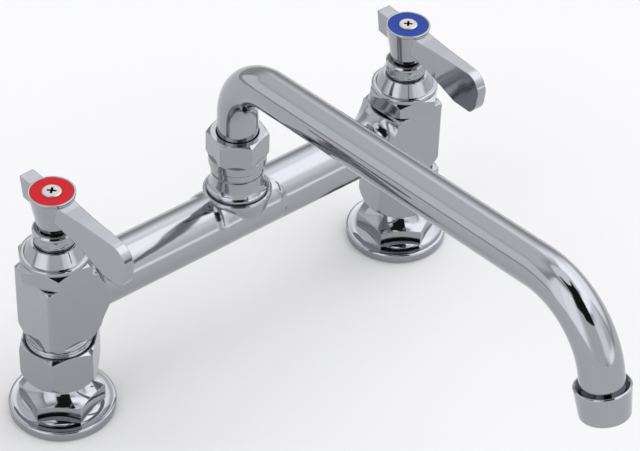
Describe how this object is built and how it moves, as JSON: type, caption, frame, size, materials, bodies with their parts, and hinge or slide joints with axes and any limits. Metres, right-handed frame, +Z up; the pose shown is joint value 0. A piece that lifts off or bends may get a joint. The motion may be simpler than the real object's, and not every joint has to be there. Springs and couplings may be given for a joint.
{
  "type": "deck-mount faucet",
  "caption": "Chrome kitchen faucet for deck mounting, with a cast bridge body, lever handles and a swinging tube spout.",
  "frame": {"origin": "on the deck, midway between the centres of the hot and cold inlets", "axes": "+X from the hot side to the cold side, -Y towards the user, +Z up from the deck"},
  "size_m": [0.2532, 0.2742, 0.1767],
  "materials": {
    "chrome": "polished plate on brass",
    "brass": "turned",
    "rubber": "moulded nitrile rubber",
    "ceramic": "lapped alumina",
    "sealing_plastic": "moulded, off-white",
    "red_index": "moulded, red",
    "blue_index": "moulded, blue",
    "steel": "turned stainless steel"
  },
  "bodies": {
    "root": {"manifold": "chrome", "swivel_base": "chrome", "swivel_nut": "chrome", "slip_washer": "sealing_plastic", "hot_flange": "chrome", "hot_union_washer": "rubber", "hot_coupling_nut": "chrome", "hot_seat_seal": "rubber", "hot_cartridge_body": "brass", "hot_fixed_disc": "ceramic", "hot_bonnet_gasket": "rubber", "hot_bonnet": "chrome", "hot_packing": "sealing_plastic", "hot_packing_nut": "chrome", "cold_flange": "chrome", "cold_union_washer": "rubber", "cold_coupling_nut": "chrome", "cold_seat_seal": "rubber", "cold_cartridge_body": "brass", "cold_fixed_disc": "ceramic", "cold_bonnet_gasket": "rubber", "cold_bonnet": "chrome", "cold_packing": "sealing_plastic", "cold_packing_nut": "chrome"},
    "hot_handle": {"hot_turning_disc": "ceramic", "hot_stem": "brass", "hot_stem_o_ring": "rubber", "hot_lever": "chrome", "hot_index_ring": "red_index", "hot_handle_screw": "steel"},
    "cold_handle": {"cold_turning_disc": "ceramic", "cold_stem": "brass", "cold_stem_o_ring": "rubber", "cold_lever": "chrome", "cold_index_ring": "blue_index", "cold_handle_screw": "steel"},
    "spout": {"spout_tube": "chrome", "spout_sleeve": "brass", "spout_o_rings": "rubber", "aerator_shell": "chrome", "aerator_washer": "rubber", "aerator_housing": "sealing_plastic", "aerator_screen": "steel"}
  },
  "joints": [
    {"name": "spout_swivel", "type": "hinge", "parent": "root", "child": "spout", "pos_m": [0, 0, 0.092], "axis": [0, 0, 1], "continuous": true},
    {"name": "hot_handle_turn", "type": "hinge", "parent": "root", "child": "hot_handle", "pos_m": [-0.1016, 0, 0.095], "axis": [0, 0, 1], "range_deg": [0, 90]},
    {"name": "cold_handle_turn", "type": "hinge", "parent": "root", "child": "cold_handle", "pos_m": [0.1016, 0, 0.095], "axis": [0, 0, 1], "range_deg": [-90, 0]}
  ]
}
